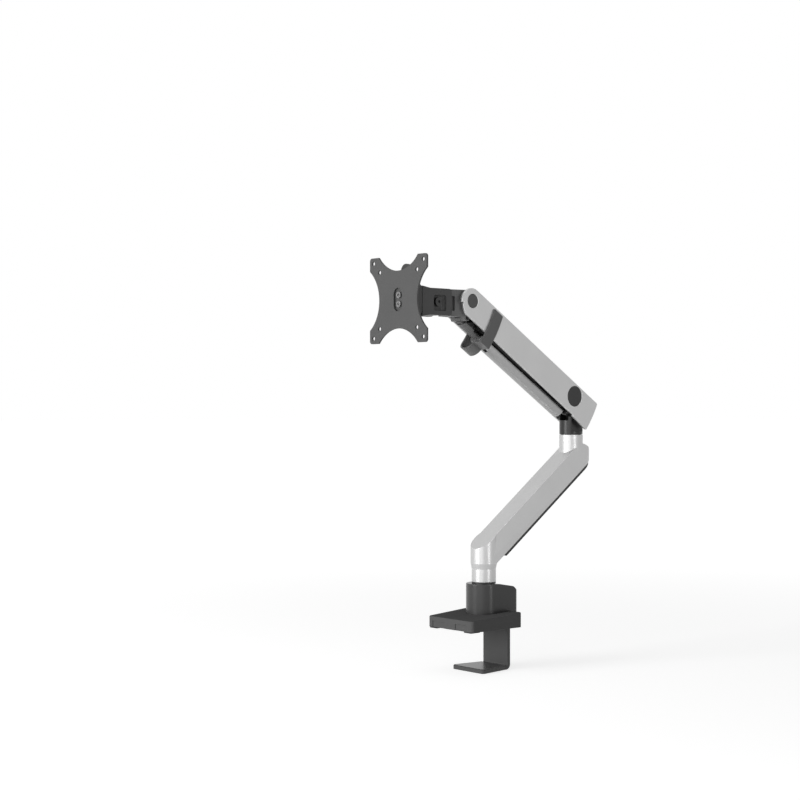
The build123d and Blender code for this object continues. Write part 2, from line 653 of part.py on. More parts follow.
def make_lower_arm():
    bush_r = POST_R + RUN_FIT + BUSH_WALL
    collar_z = lower_z(ELBOW_Y, LOWER_THICKNESS / 2)
    arm = lower_body() + lower_boss() + rod_z(COLLAR_R, collar_z, COLLAR_TOP, 0, ELBOW_Y)
    channel = block(-CHANNEL_HALF, CHANNEL_HALF, CHANNEL_Y0, CHANNEL_Y1, -HUGE, HUGE)
    channel &= below_lower_plane(LOWER_THICKNESS - CHANNEL_DEPTH)
    arm -= channel
    arm -= rod_z(bush_r + SEAT_FIT, 0, POST_TOP + FACE_GAP)
    stem_bush_r = STEM_R + RUN_FIT + STEM_BUSH_WALL
    arm -= rod_z(stem_bush_r + SEAT_FIT, 0, HUGE, 0, ELBOW_Y)
    arm -= rod_z(STEM_WASHER_R + FACE_GAP, 0, stem_seat_z(), 0, ELBOW_Y)
    arm -= rod_y(GRUB_R + SEAT_FIT, 0, HUGE, 0, GROOVE_Z)

    bushes = []
    gap_z0, gap_z1 = HOUSING_TOP + BUSH_GAP_RISE0, HOUSING_TOP + BUSH_GAP_RISE1
    for z0, z1 in ((boss_bottom_z(), gap_z0), (gap_z1, POST_TOP)):
        bushes.append(tube_z(bush_r, POST_R + RUN_FIT, z0, z1))
    grub = rod_y(GRUB_R, POST_R - GROOVE_DEPTH + GRUB_TIP_FIT, BOSS_R - GRUB_TIP_FIT, 0, GROOVE_Z)
    stem_bush = rod_z(stem_bush_r, stem_seat_z(), COLLAR_TOP, 0, ELBOW_Y)
    stem_bush += rod_z(ELBOW_FLANGE_R, COLLAR_TOP, COLLAR_TOP + ELBOW_FLANGE_T, 0, ELBOW_Y)
    stem_bush -= rod_z(STEM_R + RUN_FIT, 0, HUGE, 0, ELBOW_Y)

    slab = below_lower_plane(LOWER_THICKNESS) - below_lower_plane(LOWER_THICKNESS + COVER_T)
    cover = slab & plan_prism(lower_plan(COVER_INSET), 0, HUGE)
    cover &= block(-HUGE, HUGE, COVER_Y0, COVER_Y1, -HUGE, HUGE)
    rib_x1 = CHANNEL_HALF - FACE_GAP
    rib_zone = below_lower_plane(LOWER_THICKNESS - COVER_RIB_H) - below_lower_plane(LOWER_THICKNESS)
    rib = block(rib_x1 - COVER_RIB_T, rib_x1, CHANNEL_Y0 + OVER, CHANNEL_Y1 - OVER, -HUGE, HUGE) & rib_zone
    for each in mirrored(rib):
        cover += each
    return {"lower_arm": arm, "post_bushes": bushes, "grub_screw": grub, "elbow_bush": stem_bush,
            "cable_cover": cover}


# Elbow

def make_elbow():
    link_y = MAIN_Y + LINK_DY
    link_z = MAIN_Z + LINK_DZ
    disc_z0 = COLLAR_TOP + ELBOW_FLANGE_T + FACE_GAP
    disc_z1 = disc_z0 + ELBOW_DISC_T
    front = ELBOW_Y - ELBOW_DISC_R
    rear = ELBOW_Y + ELBOW_DISC_R
    point = ELBOW_POINT_R
    web = hull((MAIN_Y, MAIN_Z, MAIN_BOSS_R), (front + point, disc_z1, point), (rear - point, disc_z1, point),
               (rear - point, disc_z1 + ELBOW_REAR_H, point))
    web = side_prism(web, ELBOW_HALF)
    low = block(-HUGE, HUGE, -HUGE, HUGE, -HUGE, MAIN_Z - ELBOW_ROUND_DROP)
    bracket = (web - low) + (web & low & rod_z(ELBOW_DISC_R, disc_z0, HUGE, 0, ELBOW_Y))
    ear_r = ELBOW_EAR_R
    ear = hull((link_y, link_z, ear_r), (link_y + 2 * ear_r, link_z - ear_r / 2, ear_r))
    bracket += side_prism(ear, ELBOW_EAR_HALF)
    bracket += rod_z(ELBOW_DISC_R, disc_z0, disc_z1, 0, ELBOW_Y)
    bracket += rod_z(STEM_R, STEM_END_Z, disc_z1, 0, ELBOW_Y)
    slot_rear = MAIN_Y + ELBOW_SLOT_REAR
    slot_floor = MAIN_Z - ELBOW_SLOT_DROP
    bracket -= block(-ELBOW_SLOT_HALF, ELBOW_SLOT_HALF, -HUGE, slot_rear, slot_floor, HUGE)
    bracket -= rod_x(MAIN_PIN_R + RUN_FIT, -HUGE, HUGE, MAIN_Y, MAIN_Z)
    bracket -= rod_x(LINK_PIN_R + SEAT_FIT, -HUGE, HUGE, link_y, link_z)
    foot_z = MAIN_Z - SPRING_OFFSET
    bracket -= rod_x(SPRING_FOOT_R + SEAT_FIT, -HUGE, HUGE, MAIN_Y, foot_z)
    bracket -= rod_z(STEM_SCREW_R + SEAT_FIT, 0, STEM_END_Z + STEM_SCREW_LENGTH, 0, ELBOW_Y)

    washer_z = STEM_END_Z - STEM_WASHER_T
    washer = tube_z(STEM_WASHER_R, STEM_SCREW_R + FACE_GAP, washer_z, STEM_END_Z, 0, ELBOW_Y)
    screw = rod_z(STEM_SCREW_HEAD_R, washer_z - STEM_SCREW_HEAD_T, washer_z, 0, ELBOW_Y)
    screw += rod_z(STEM_SCREW_R, washer_z - OVER, STEM_END_Z + STEM_SCREW_LENGTH, 0, ELBOW_Y)
    screw -= hex_z(STEM_SCREW_SOCKET, 0, washer_z - STEM_SCREW_HEAD_T / 2, 0, ELBOW_Y)
    link_pin = rod_x(LINK_PIN_R, LINK_EAR_X0, ELBOW_EAR_HALF, link_y, link_z)
    foot_pin = rod_x(SPRING_FOOT_R, -ELBOW_HALF, ELBOW_HALF, MAIN_Y, foot_z)
    return {"elbow_bracket": bracket, "stem_washer": washer, "stem_screw": screw,
            "elbow_link_pins": mirrored(link_pin), "spring_foot_pin": foot_pin}


# Upper arm

def nose_point(radius, angle):
    """Point on a circle about the nose's centre, angle measured from the arm's direction."""
    centre = (SHELL_TOP_HEAD - SHELL_BOTTOM_HEAD) / 2
    return (ARM_LENGTH + radius * cos(radians(angle)), centre + radius * sin(radians(angle)))


def shell_side():
    """Side panel of the upper arm in the arm's frame."""
    nose_r = (SHELL_TOP_HEAD + SHELL_BOTTOM_HEAD) / 2
    step_r = nose_r - NOSE_STEP
    top_rear = (-SHELL_REAR, SHELL_TOP_ELBOW)
    low_rear = (-SHELL_REAR, -SHELL_BOTTOM_ELBOW)
    middle = (SHELL_TOP_ELBOW - SHELL_BOTTOM_ELBOW) / 2
    step = [(SHELL_STEP_S, -SHELL_BOTTOM_STEP), (SHELL_STEP_S, -SHELL_BOTTOM_STEP - SHELL_STEP)]
    upper = ThreePointArc(nose_point(nose_r, 90), nose_point(nose_r, (90 - ARM_ANGLE) / 2),
                          nose_point(nose_r, -ARM_ANGLE))
    between = nose_point((step_r + nose_r) / 2, -(90 + ARM_ANGLE) / 2)
    lower = ThreePointArc(nose_point(step_r, -ARM_ANGLE), between, nose_point(nose_r, -90))
    outline = [
        Line(top_rear, nose_point(nose_r, 90)),
        upper,
        Line(nose_point(nose_r, -ARM_ANGLE), nose_point(step_r, -ARM_ANGLE)),
        lower,
        Polyline(nose_point(nose_r, -90), *step, low_rear),
        ThreePointArc(low_rear, (-SHELL_REAR - SHELL_REAR_BULGE, middle), top_rear),
    ]
    face = make_face(outline)
    rear = face.vertices().sort_by(Axis.X)[:2]
    return fillet(rear, SHELL_CORNER_R)


def make_shell():
    flat_half = SHELL_HALF - SHELL_EDGE
    side = shell_side()
    shell = extrude(side, flat_half, both=True)
    bevel = Pos(0, 0, -flat_half) * extrude(side, SHELL_EDGE, taper=SHELL_EDGE_ANGLE)
    shell += bevel
    shell += mirror(bevel, Plane.XY)
    inner = SHELL_HALF - SHELL_WALL
    end_wall = SHELL_WALL - SHELL_REAR
    shell -= block(end_wall, HUGE, -HUGE, SHELL_CEILING, -inner, inner)
    shell -= block(-HUGE, HUGE, -HUGE, SHELL_END_WALL_BOTTOM, -inner, inner)
    shell -= block(ARM_LENGTH - SHELL_ROOF_END, HUGE, -HUGE, HUGE, -inner, inner)
    shell -= block(-HUGE, SHELL_STEP_S, -HUGE, -SHELL_LEFT_BOTTOM, 0, HUGE)
    shell = ARM * shell
    cap_seat = SHELL_HALF - CAP_T
    for s, cap_r, pin_r in ((0, MAIN_CAP_R, MAIN_PIN_R), (ARM_LENGTH, HEAD_CAP_R, HEAD_PIN_R)):
        shell -= arm_pin(ARM, pin_r + SEAT_FIT, s, 0, -HUGE, HUGE)
        shell -= arm_pin(ARM, cap_r + CAP_FIT, s, 0, cap_seat, HUGE)
        shell -= arm_pin(ARM, cap_r + CAP_FIT, s, 0, -HUGE, -cap_seat)
        rim = Cone(cap_r + CAP_FIT, cap_r + CAP_FIT + CAP_RIM + OVER, CAP_RIM + OVER)
        rim = ARM * Pos(s, 0, SHELL_HALF + (OVER - CAP_RIM) / 2) * rim
        shell -= rim
        shell -= mirror(rim, Plane.YZ)
    shell -= arm_pin(ARM, ANCHOR_R + SEAT_FIT, ANCHOR_S, spring_line(), -anchor_half(), anchor_half())
    for t in (CLIP_PEG_TOP, CLIP_PEG_LOW):
        shell -= arm_pin(ARM, CLIP_PEG_R + SEAT_FIT, (CLIP_S0 + CLIP_S1) / 2, t, 0, HUGE)
    return {"upper_arm_shell": shell}


def make_pivots():
    inner = SHELL_HALF - SHELL_WALL
    cap_seat = SHELL_HALF - CAP_T
    nodes = {}
    places = (("main", 0, MAIN_PIN_R, MAIN_CAP_R, ELBOW_HALF),
              ("head", ARM_LENGTH, HEAD_PIN_R, HEAD_CAP_R, KNUCKLE_HALF))
    for name, s, pin_r, cap_r, inside in places:
        nodes[name + "_pivot_pin"] = arm_pin(ARM, pin_r, s, 0, -cap_seat, cap_seat)
        cap = arm_pin(ARM, cap_r, s, 0, cap_seat, SHELL_HALF + CAP_DOME)
        cap = chamfer(cap.edges().sort_by(Axis.X)[-1], CAP_DOME)
        nodes[name + "_pivot_caps"] = mirrored(cap)
        spacer = arm_pin(ARM, SPACER_R, s, 0, inside + FACE_GAP, inner - FACE_GAP)
        spacer -= arm_pin(ARM, pin_r + RUN_FIT, s, 0, 0, HUGE)
        nodes[name + "_pivot_washers"] = mirrored(spacer)
    return nodes


# Lower link

def link_tube(radius, s0, s1, centre=LINK_RIM, rim=LINK_RIM):
    """Round bar along the link, cut off flat at its rim."""
    bar = arm_rod(LINK, radius, s0, s1, centre)
    return bar - arm_block(LINK, s0 - OVER, s1 + OVER, rim, HUGE, -HUGE, HUGE)


def link_cut(s, rim, angle, s0, s1):
    """Half of space before or after a plane across the link, leaning from its rim."""
    return LINK * Pos(s, rim, 0) * Rot(0, 0, angle) * block(s0, s1, -HUGE, HUGE, -HUGE, HUGE)


def make_link():
    inner_r = LINK_R - LINK_WALL
    fill_r = inner_r - FACE_GAP
    joint = ARM_LENGTH - LINK_JOINT_BACK
    rear_cut = link_cut(LINK_REAR_START, LINK_RIM, -LINK_REAR_SLANT, -HUGE, 0)
    trough = link_tube(LINK_R, LINK_REAR_START, joint) - arm_rod(LINK, inner_r, 0, ARM_LENGTH, LINK_RIM)
    trough -= rear_cut
    slot_s = ARM_LENGTH - LINK_SLOT_BACK
    trough -= arm_block(LINK, slot_s, slot_s + LINK_SLOT_LENGTH, -HUGE, 0, LINK_SLOT_X0, LINK_SLOT_X1)

    rear = link_tube(fill_r, LINK_REAR_START, LINK_LUG_END) - rear_cut
    rear -= arm_block(LINK, 0, LINK_BLOCK_START, -HUGE, HUGE, -LINK_EAR_X0, LINK_EAR_X0)
    rear -= arm_block(LINK, 0, HUGE, LINK_LUG_TOP, HUGE, -LINK_EAR_X0, LINK_EAR_X0)
    for side in (-1, 1):
        x0, x1 = sorted((side * LINK_EAR_X0, side * LINK_EAR_X1))
        rear += arm_pin(LINK, LINK_EYE_R, 0, 0, x0, x1)
        rear += arm_block(LINK, 0, LINK_BLOCK_START, -LINK_EYE_R, 0, x0, x1)
    rear -= arm_pin(LINK, LINK_PIN_R + RUN_FIT, 0, 0, -HUGE, HUGE)

    tongue = LINK_TONGUE_HALF
    front = link_tube(LINK_HEAD_R, joint, ARM_LENGTH, 0, LINK_HEAD_RIM)
    front -= arm_rod(LINK, LINK_HEAD_R - LINK_HEAD_WALL, joint + LINK_BULKHEAD, ARM_LENGTH, 0)
    front -= link_cut(ARM_LENGTH - LINK_HEAD_END, LINK_HEAD_RIM, LINK_HEAD_SLANT, 0, HUGE)
    front -= arm_block(LINK, 0, joint + LINK_BULKHEAD, LINK_PLUG_TOP, HUGE, -HUGE, HUGE)
    front += link_tube(fill_r, joint - LINK_SPIGOT, joint, LINK_RIM, LINK_PLUG_TOP)
    bar_start = joint + LINK_BAR_START
    front += arm_block(LINK, bar_start, ARM_LENGTH, LINK_BAR_BOTTOM, LINK_BAR_TOP, -tongue, tongue)
    front += arm_pin(LINK, LINK_EYE_R, ARM_LENGTH, 0, -tongue, tongue)
    front -= arm_pin(LINK, LINK_PIN_R + OPEN_PIVOT_FIT, ARM_LENGTH, 0, -HUGE, HUGE)
    return {"lower_link": trough, "link_elbow_lug": rear, "link_head_lug": front}


# Gas spring

def spring_line():
    """Height of the spring's line in the arm's frame: the middle of its foot pin's path."""
    highest = SPRING_OFFSET * cos(radians(ARM_TOP_ANGLE))
    return -(SPRING_OFFSET + highest) / 2


def anchor_half():
    """Depth of the blind holes for the anchor pin, half way into the panels."""
    return SHELL_HALF - SHELL_WALL / 2


def make_spring():
    t = spring_line()
    eye_s = -SPRING_OFFSET * sin(radians(ARM_ANGLE))
    rod_start = eye_s + (ROD_EYE_R + ROD_EYE_HOLE_R) / 2
    rod_end = eye_s + ROD_LENGTH
    eye = arm_pin(ARM, ROD_EYE_R, eye_s, t, -ROD_EYE_HALF, ROD_EYE_HALF)
    eye -= arm_pin(ARM, ROD_EYE_HOLE_R, eye_s, t, -HUGE, HUGE)
    eye -= arm_block(ARM, rod_start, HUGE, -HUGE, HUGE, -HUGE, HUGE)
    rod = arm_rod(ARM, ROD_R, rod_start, rod_end, t)
    rod += arm_rod(ARM, PISTON_R, rod_end - PISTON_T, rod_end, t)
    cylinder = arm_rod(ARM, CYLINDER_R, CYLINDER_START, CYLINDER_END, t)
    cylinder += arm_pin(ARM, ANCHOR_EYE_R, ANCHOR_S, t, -ANCHOR_EYE_HALF, ANCHOR_EYE_HALF)
    eye_half = ANCHOR_EYE_HALF
    neck = ANCHOR_NECK_HALF
    cylinder += arm_block(ARM, CYLINDER_END - OVER, ANCHOR_S, t - neck, t + neck, -eye_half, eye_half)
    gland_end = CYLINDER_START + CYLINDER_GLAND
    cylinder -= arm_rod(ARM, ROD_R + RUN_FIT, 0, gland_end + OVER, t)
    cylinder -= arm_rod(ARM, CYLINDER_BORE_R, gland_end, CYLINDER_END - CYLINDER_GLAND, t)
    cylinder -= arm_pin(ARM, ANCHOR_R + SEAT_FIT, ANCHOR_S, t, -HUGE, HUGE)
    end = anchor_half() - FACE_GAP
    anchor = arm_pin(ARM, ANCHOR_R, ANCHOR_S, t, -end, end)
    return {"gas_cylinder": cylinder, "gas_rod": rod, "rod_eye": eye, "spring_anchor_pin": anchor}


# Cable clip

def make_clip():
    """Bowed band on the right panel, with a strap under the link and an open loop for cables."""
    x0 = SHELL_HALF + FACE_GAP
    x1 = x0 + CLIP_T
    inner_r = CLIP_LOOP_R - CLIP_T
    loop_t = CLIP_STRAP_TOP - CLIP_T
    arm_x1 = CLIP_LOOP_X - inner_r
    length = CLIP_S1 - CLIP_S0
    low = loop_t - CLIP_LOOP_R
    middle = (CLIP_TOP + low) / 2
    reach = (CLIP_TOP - low) / 2

    section = Pos(CLIP_LOOP_X, loop_t) * Circle(CLIP_LOOP_R)
    section -= Pos(CLIP_LOOP_X, loop_t) * Circle(inner_r)
    section -= Pos(CLIP_LOOP_X, loop_t + CLIP_LOOP_R) * Rectangle(4 * CLIP_LOOP_R, 2 * CLIP_LOOP_R)
    section += Pos(arm_x1 - CLIP_T / 2, loop_t + CLIP_LOOP_ARM / 2) * Rectangle(CLIP_T, CLIP_LOOP_ARM)
    strap_x0 = CLIP_LOOP_X + inner_r
    section += Pos((strap_x0 + x1) / 2, CLIP_STRAP_TOP - CLIP_T / 2) * Rectangle(x1 - strap_x0, CLIP_T)
    band_t = (CLIP_TOP + CLIP_STRAP_TOP - CLIP_T) / 2
    section += Pos((x0 + x1) / 2, band_t) * Rectangle(CLIP_T, CLIP_TOP - CLIP_STRAP_TOP + CLIP_T)
    across = Plane(origin=(CLIP_S0 - CLIP_BOW, 0, 0), x_dir=(0, 0, -1), z_dir=(1, 0, 0))
    clip = extrude(across * section, length + 2 * CLIP_BOW)
    bow_r = (reach ** 2 + CLIP_BOW ** 2) / (2 * CLIP_BOW)
    rear_edge = rod_z(bow_r, -HUGE, HUGE, CLIP_S0 - CLIP_BOW + bow_r, middle)
    front_edge = rod_z(bow_r, -HUGE, HUGE, CLIP_S1 - CLIP_BOW + bow_r, middle)
    clip = (clip & rear_edge) - front_edge
    clip = ARM * clip
    for t in (CLIP_PEG_TOP, CLIP_PEG_LOW):
        clip += arm_pin(ARM, CLIP_PEG_R, (CLIP_S0 + CLIP_S1) / 2, t, SHELL_HALF - SHELL_WALL, x1 - CLIP_T / 2)
    return {"cable_clip": clip}


# Head

def make_knuckle():
    lug_y = HEAD_Y + LINK_DY
    lug_z = HEAD_PIVOT_Z + LINK_DZ
    side = hull((HEAD_Y, HEAD_PIVOT_Z, KNUCKLE_SIDE_R), (lug_y, lug_z, KNUCKLE_LUG_R))
    body = side_prism(side, KNUCKLE_HALF) & rod_z(KNUCKLE_R, 0, 2 * HUGE, 0, HEAD_Y)
    body += side_prism(Pos(lug_y, lug_z) * Circle(KNUCKLE_LUG_R), KNUCKLE_LUG_HALF)
    ears = hull((0, HEAD_Y, KNUCKLE_R), (0, PAN_Y, EAR_R))
    front = block(-KNUCKLE_HALF, KNUCKLE_HALF, -HUGE, HEAD_Y - EAR_ROOT, 0, 2 * HUGE)
    body += plan_prism(ears, LOWER_EAR_Z0, UPPER_EAR_Z1) & front
    body -= rod_z(CORE_GAP_R, LOWER_EAR_Z1, UPPER_EAR_Z0, 0, PAN_Y)
    slot = KNUCKLE_LUG_SLOT_HALF
    slot_y = lug_y - LINK_EYE_R - KNUCKLE_LUG_SLOT_CLEAR
    body -= block(-slot, slot, slot_y, HUGE, 0, HEAD_PIVOT_Z + KNUCKLE_LUG_SLOT_TOP)
    body -= rod_z(PAN_PIN_R + SEAT_FIT, 0, 2 * HUGE, 0, PAN_Y)
    body -= rod_x(HEAD_PIN_R + RUN_FIT, -HUGE, HUGE, HEAD_Y, HEAD_PIVOT_Z)
    body -= rod_x(LINK_PIN_R + SEAT_FIT, -HUGE, HUGE, lug_y, lug_z)
    link_pin = rod_x(LINK_PIN_R, -KNUCKLE_LUG_HALF, KNUCKLE_LUG_HALF, lug_y, lug_z)
    pan_pin = rod_z(PAN_PIN_R, LOWER_EAR_Z0 + PAN_PIN_INSET, UPPER_EAR_Z1 - FACE_GAP, 0, PAN_Y)
    return {"knuckle": body, "head_link_pin": link_pin, "pan_pin": pan_pin}


def make_core():
    z0 = LOWER_EAR_Z1 + PAN_WASHER_T + FACE_GAP
    z1 = UPPER_EAR_Z0 - PAN_WASHER_T - FACE_GAP
    half_neck = (z1 - z0) / 2
    core = rod_z(CORE_R, z0, z1, 0, PAN_Y)
    neck_y = PAN_Y - CORE_NECK_FORWARD
    plan = polygon((-CORE_R, PAN_Y), (CORE_R, PAN_Y), (CORE_HALF, neck_y), (CORE_HALF, TILT_Y),
                   (-CORE_HALF, TILT_Y), (-CORE_HALF, neck_y))
    core += plan_prism(plan, TILT_Z - half_neck, z1)
    core += rod_x(TILT_BARREL_R, -CORE_HALF, CORE_HALF, TILT_Y, TILT_Z)
    core -= rod_z(PAN_PIN_R + RUN_FIT, 0, 2 * HUGE, 0, PAN_Y)
    core -= rod_x(TILT_BOLT_R + RUN_FIT, -HUGE, HUGE, TILT_Y, TILT_Z)
    washers = []
    for low in (LOWER_EAR_Z1 + FACE_GAP / 2, z1 + FACE_GAP / 2):
        washers.append(tube_z(PAN_WASHER_R, PAN_PIN_R + FACE_GAP, low, low + PAN_WASHER_T, 0, PAN_Y))
    return {"pan_core": core, "pan_washers": washers}


def make_fork():
    z0 = TILT_Z - FORK_HEIGHT / 2
    z1 = TILT_Z + FORK_HEIGHT / 2
    flare_y = FORK_FRONT_Y + FORK_FLARE_DEPTH
    side = polygon((FORK_REAR_Y, z0), (FORK_REAR_Y, z1), (flare_y, z1), (FORK_FRONT_Y, z1 + FORK_FLARE),
                   (FORK_FRONT_Y, z0 - FORK_FLARE), (flare_y, z0))
    side = fillet(side.vertices().sort_by(Axis.X)[-2:], FORK_REAR_R)
    cut = FORK_REAR_CHAMFER
    half = FORK_HALF
    plan = polygon((-half, FORK_FRONT_Y), (half, FORK_FRONT_Y), (half, FORK_REAR_Y - cut),
                   (half - cut, FORK_REAR_Y), (cut - half, FORK_REAR_Y), (-half, FORK_REAR_Y - cut))
    fork = side_prism(side, HUGE) & plan_prism(plan, 0, 2 * HUGE)
    web_y = FORK_FRONT_Y + FORK_WEB
    inner = FORK_INNER_HALF
    fork -= block(-inner, inner, web_y, HUGE, z0 + FORK_FLOOR_T, z1 - FORK_FLOOR_T)
    fork -= block(-inner, inner, TILT_Y + FORK_FLOOR_REAR, HUGE, 0, 2 * HUGE)
    pocket = RectangleRounded(FORK_POCKET_FRONT + FORK_POCKET_REAR, FORK_POCKET_H, FORK_POCKET_R)
    pocket_y = TILT_Y + (FORK_POCKET_REAR - FORK_POCKET_FRONT) / 2
    pocket = Pos(pocket_y, TILT_Z - FORK_POCKET_DROP) * pocket
    floor = half - FORK_POCKET_DEPTH
    recess = side_prism(pocket, HUGE) - block(-floor, floor, -HUGE, HUGE, 0, 2 * HUGE)
    cove_r = FORK_POCKET_DEPTH
    cove_y = TILT_Y + FORK_POCKET_REAR - cove_r
    cove = block(floor - OVER, half, cove_y, cove_y + cove_r + OVER, 0, 2 * HUGE)
    cove -= rod_z(cove_r, 0, 2 * HUGE, half, cove_y)
    for corner in mirrored(cove):
        recess -= corner
    fork -= recess
    fork -= rod_x(TILT_BOLT_R + SEAT_FIT, -HUGE, HUGE, TILT_Y, TILT_Z)
    fork -= rod_y(SPINDLE_R + RUN_FIT, FORK_FRONT_Y - OVER, web_y + OVER, 0, HEAD_Z)

    bolt = rod_x(TILT_BOLT_R, -floor - TILT_HEAD_T, floor + OVER, TILT_Y, TILT_Z)
    bolt += rod_x(TILT_HEAD_R, floor, floor + TILT_HEAD_T, TILT_Y, TILT_Z)
    bolt -= hex_x(TILT_SOCKET, floor + TILT_HEAD_T / 2, floor + 2 * TILT_HEAD_T, TILT_Y, TILT_Z)
    nut = hex_x(2 * TILT_HEAD_R, -floor - TILT_HEAD_T, -floor, TILT_Y, TILT_Z)
    nut -= rod_x(TILT_BOLT_R + SEAT_FIT, -HUGE, HUGE, TILT_Y, TILT_Z)
    washer = tube_x(TILT_WASHER_R, TILT_BOLT_R + FACE_GAP, CORE_HALF + FACE_GAP,
                    CORE_HALF + FACE_GAP + TILT_WASHER_T, TILT_Y, TILT_Z)

    washer_y = FORK_FRONT_Y - ROTATION_WASHER_T
    front_washer = rod_y(ROTATION_WASHER_R, washer_y, FORK_FRONT_Y, 0, HEAD_Z)
    front_washer -= rod_y(SPINDLE_R + FACE_GAP, washer_y - OVER, FORK_FRONT_Y + OVER, 0, HEAD_Z)
    return {"head_fork": fork, "tilt_bolt": bolt, "tilt_nut": nut, "tilt_washers": mirrored(washer),
            "rotation_washer": front_washer}


# Screen plate

def cup_floor_y():
    """Back of the dished cup in the screen plate."""
    return PLATE_FRONT_Y + CUP_DEPTH + CUP_WALL


def obround(width, height):
    return SlotOverall(height, width, rotation=90)


def front_prism(face, y0, y1):
    """A face drawn in (X, Z) about the head's axis, extruded between two depths."""
    return Pos(0, y1, HEAD_Z) * Rot(90, 0, 0) * extrude(face, y1 - y0)


def plate_outline():
    """Square plate with hollowed sides."""
    bow = PLATE_HALF - PLATE_WAIST
    radius = (PLATE_FLAT_START ** 2 + bow ** 2) / (2 * bow)
    face = Rectangle(2 * PLATE_HALF, 2 * PLATE_HALF)
    face = fillet(face.vertices(), PLATE_CORNER_R)
    for angle in (0, 90, 180, 270):
        face -= Rot(0, 0, angle) * Pos(0, PLATE_WAIST + radius) * Circle(radius)
    return face


def plate_screw_heights():
    return (HEAD_Z - PLATE_SCREW_SPACING / 2, HEAD_Z + PLATE_SCREW_SPACING / 2)


def make_plate():
    outline = plate_outline()
    for size in PLATE_PATTERNS:
        outline -= GridLocations(size, size, 2, 2) * Circle(PLATE_HOLE_R)
    plate = front_prism(outline, PLATE_FRONT_Y, PLATE_FRONT_Y + PLATE_T)
    plate += front_prism(obround(CUP_W + 2 * CUP_WALL, CUP_H + 2 * CUP_WALL), PLATE_FRONT_Y, cup_floor_y())
    seat = PLATE_FRONT_Y + CUP_DEPTH
    plate -= front_prism(obround(CUP_W, CUP_H), PLATE_FRONT_Y - OVER, seat)
    tip = cup_floor_y() + PLATE_SCREW_GRIP
    screws = []
    for z in plate_screw_heights():
        plate -= rod_y(PLATE_SCREW_R + FACE_GAP, PLATE_FRONT_Y, cup_floor_y() + OVER, 0, z)
        screw = rod_y(PLATE_SCREW_R, seat - OVER, tip, 0, z)
        screw += rod_y(PLATE_SCREW_HEAD_R, seat - PLATE_SCREW_HEAD_T, seat, 0, z)
        screw -= hex_y(PLATE_SCREW_SOCKET, seat - 2 * PLATE_SCREW_HEAD_T, seat - PLATE_SCREW_FLOOR, 0, z)
        screws.append(screw)
    return {"screen_plate": plate, "plate_screws": screws}


def make_spindle():
    """Flanged shaft that turns in the fork and carries the plate's screws, with its nut behind the web."""
    flange_y = cup_floor_y()
    web_y = FORK_FRONT_Y + FORK_WEB
    nut_y0 = web_y + FACE_GAP
    nut_y1 = nut_y0 + ROTATION_NUT_T
    spindle = rod_y(SPINDLE_R, flange_y, nut_y1, 0, HEAD_Z)
    spindle += rod_y(SPINDLE_FLANGE_R, flange_y, flange_y + SPINDLE_FLANGE_T, 0, HEAD_Z)
    for z in plate_screw_heights():
        spindle -= rod_y(PLATE_SCREW_R + SEAT_FIT, flange_y - OVER, flange_y + PLATE_SCREW_GRIP, 0, z)
    nut = hex_y(2 * ROTATION_NUT_R, nut_y0, nut_y1, 0, HEAD_Z)
    nut -= rod_y(SPINDLE_R + SEAT_FIT, nut_y0 - OVER, nut_y1 + OVER, 0, HEAD_Z)
    return {"rotation_spindle": spindle, "rotation_nut": nut}


def make_release():
    """Block behind the plate, with a sprung latch in its top."""
    front = PLATE_FRONT_Y + PLATE_T
    rear = FORK_FRONT_Y - ROTATION_WASHER_T - FACE_GAP
    shape = RectangleRounded(2 * RELEASE_HALF, RELEASE_HEIGHT, RELEASE_CORNER_R)
    body = front_prism(shape, front, rear)
    cup = obround(CUP_W + 2 * CUP_WALL + FACE_GAP, CUP_H + 2 * CUP_WALL + FACE_GAP)
    body -= front_prism(cup, front - OVER, cup_floor_y())
    body -= rod_y(SPINDLE_R + SEAT_FIT, front, rear + OVER, 0, HEAD_Z)
    body -= rod_y(SPINDLE_FLANGE_R + FACE_GAP, front, cup_floor_y() + SPINDLE_FLANGE_T, 0, HEAD_Z)

    y0 = LATCH_Y - LATCH_T / 2
    y1 = LATCH_Y + LATCH_T / 2
    middle = (LATCH_TOP_H + LATCH_BOTTOM_H) / 2
    bottom = HEAD_Z + LATCH_BOTTOM_H
    tab = Pos(0, middle) * Rectangle(2 * LATCH_HALF, LATCH_TOP_H - LATCH_BOTTOM_H)
    tab = fillet([v for v in tab.vertices() if v.Y > middle], LATCH_HALF - LATCH_FIT)
    latch = front_prism(tab, y0, y1)
    pocket_z = bottom - LATCH_TRAVEL - LATCH_STOP
    half = LATCH_HALF + LATCH_FIT
    body -= block(-half, half, y0 - LATCH_FIT, y1 + LATCH_FIT, pocket_z, HEAD_Z + HUGE)
    spring = tube_z(LATCH_SPRING_R, LATCH_SPRING_BORE_R, pocket_z, bottom, LATCH_HALF / 2, LATCH_Y)
    return {"release_block": body, "release_latch": latch, "latch_springs": mirrored(spring)}


def main():
    os.makedirs("parts", exist_ok=True)
    makers = (make_foot, make_post, make_housing, make_clamp, make_lower_arm, make_elbow, make_shell,
              make_pivots, make_link, make_spring, make_clip, make_knuckle, make_core, make_fork, make_plate,
              make_spindle, make_release)
    for maker in makers:
        for name, shape in maker().items():
            if isinstance(shape, list):
                shape = Compound(children=shape)
            export_step(shape, f"parts/{name}.step")


main()
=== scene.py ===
import json
import math

